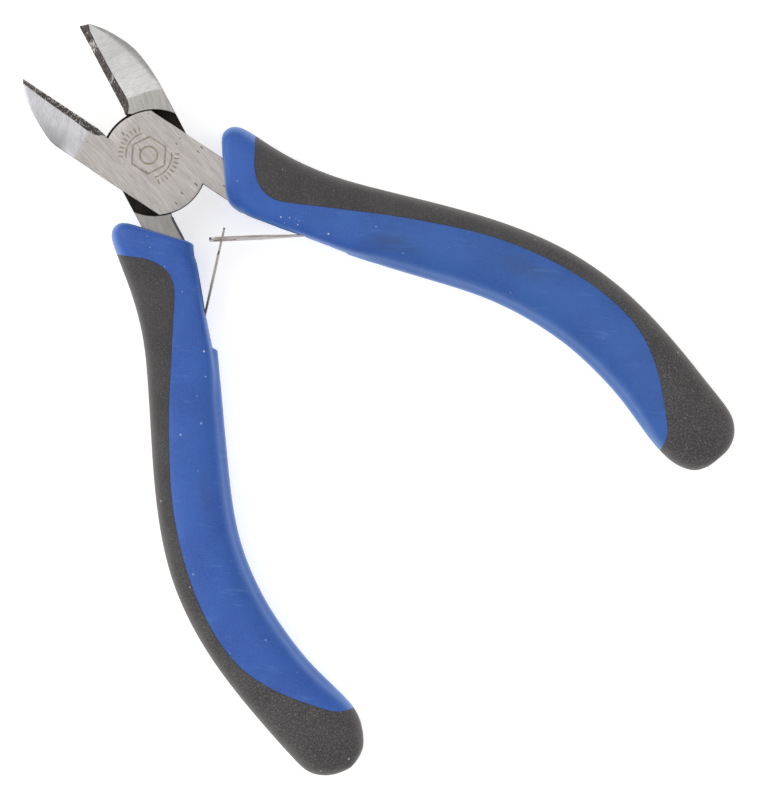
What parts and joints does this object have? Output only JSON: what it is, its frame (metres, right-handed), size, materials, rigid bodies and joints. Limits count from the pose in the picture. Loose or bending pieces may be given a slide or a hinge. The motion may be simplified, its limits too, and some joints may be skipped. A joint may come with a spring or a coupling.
{
  "type": "flush cut pliers",
  "caption": "Small sprung flush cut pliers: two lapped steel levers with ground cutting jaws, twin interlocking leaf springs and two-shot moulded grips.",
  "frame": {"origin": "on the pivot axis, at the head's flat front face", "axes": "+Z out of the front face of the head along the pivot axis, +Y towards the jaws along the line the two handles mirror about, +X towards the front lever's handle; rest is the sprung-open position"},
  "size_m": [0.0811, 0.1074, 0.0101],
  "materials": {
    "lever_steel": "ground and brushed, satin, with fine grain along the lever",
    "rivet_steel": "ground flush, satin",
    "spring_steel": "rolled strip, slightly darkened",
    "blue_moulding": "smooth moulded, satin",
    "black_moulding": "fine textured soft moulding, matte"
  },
  "bodies": {
    "front_half": {"front_lever": "lever_steel", "pivot_rivet": "rivet_steel", "front_grip_core": "blue_moulding", "front_grip_overmould": "black_moulding", "front_leaf_spring_root": "spring_steel", "front_spring_rivet": "rivet_steel"},
    "back_half": {"back_lever": "lever_steel", "back_grip_core": "blue_moulding", "back_grip_overmould": "black_moulding", "back_leaf_spring_root": "spring_steel", "back_spring_rivet": "rivet_steel"},
    "front_spring": {"front_leaf_spring": "spring_steel"},
    "back_spring": {"back_leaf_spring": "spring_steel"}
  },
  "joints": [
    {"name": "jaw_pivot", "type": "hinge", "parent": "front_half", "child": "back_half", "pos_m": [0, 0, -0.00325], "axis": [0, 0, 1], "range_deg": [-4, 28.2], "stiffness_Nm_per_rad": 0.3},
    {"name": "front_spring_bend", "type": "hinge", "parent": "front_half", "child": "front_spring", "pos_m": [0.00939, -0.02154, -0.00325], "axis": [0, 0, 1], "range_deg": [-19.5, 3]},
    {"name": "back_spring_bend", "type": "hinge", "parent": "back_half", "child": "back_spring", "pos_m": [-0.00869, -0.02154, -0.00325], "axis": [0, 0, 1], "range_deg": [-3, 19.5]}
  ],
  "couplings": [
    {"joint": "front_spring_bend", "follows": "jaw_pivot", "ratio": -0.68},
    {"joint": "back_spring_bend", "follows": "jaw_pivot", "ratio": 0.68}
  ]
}
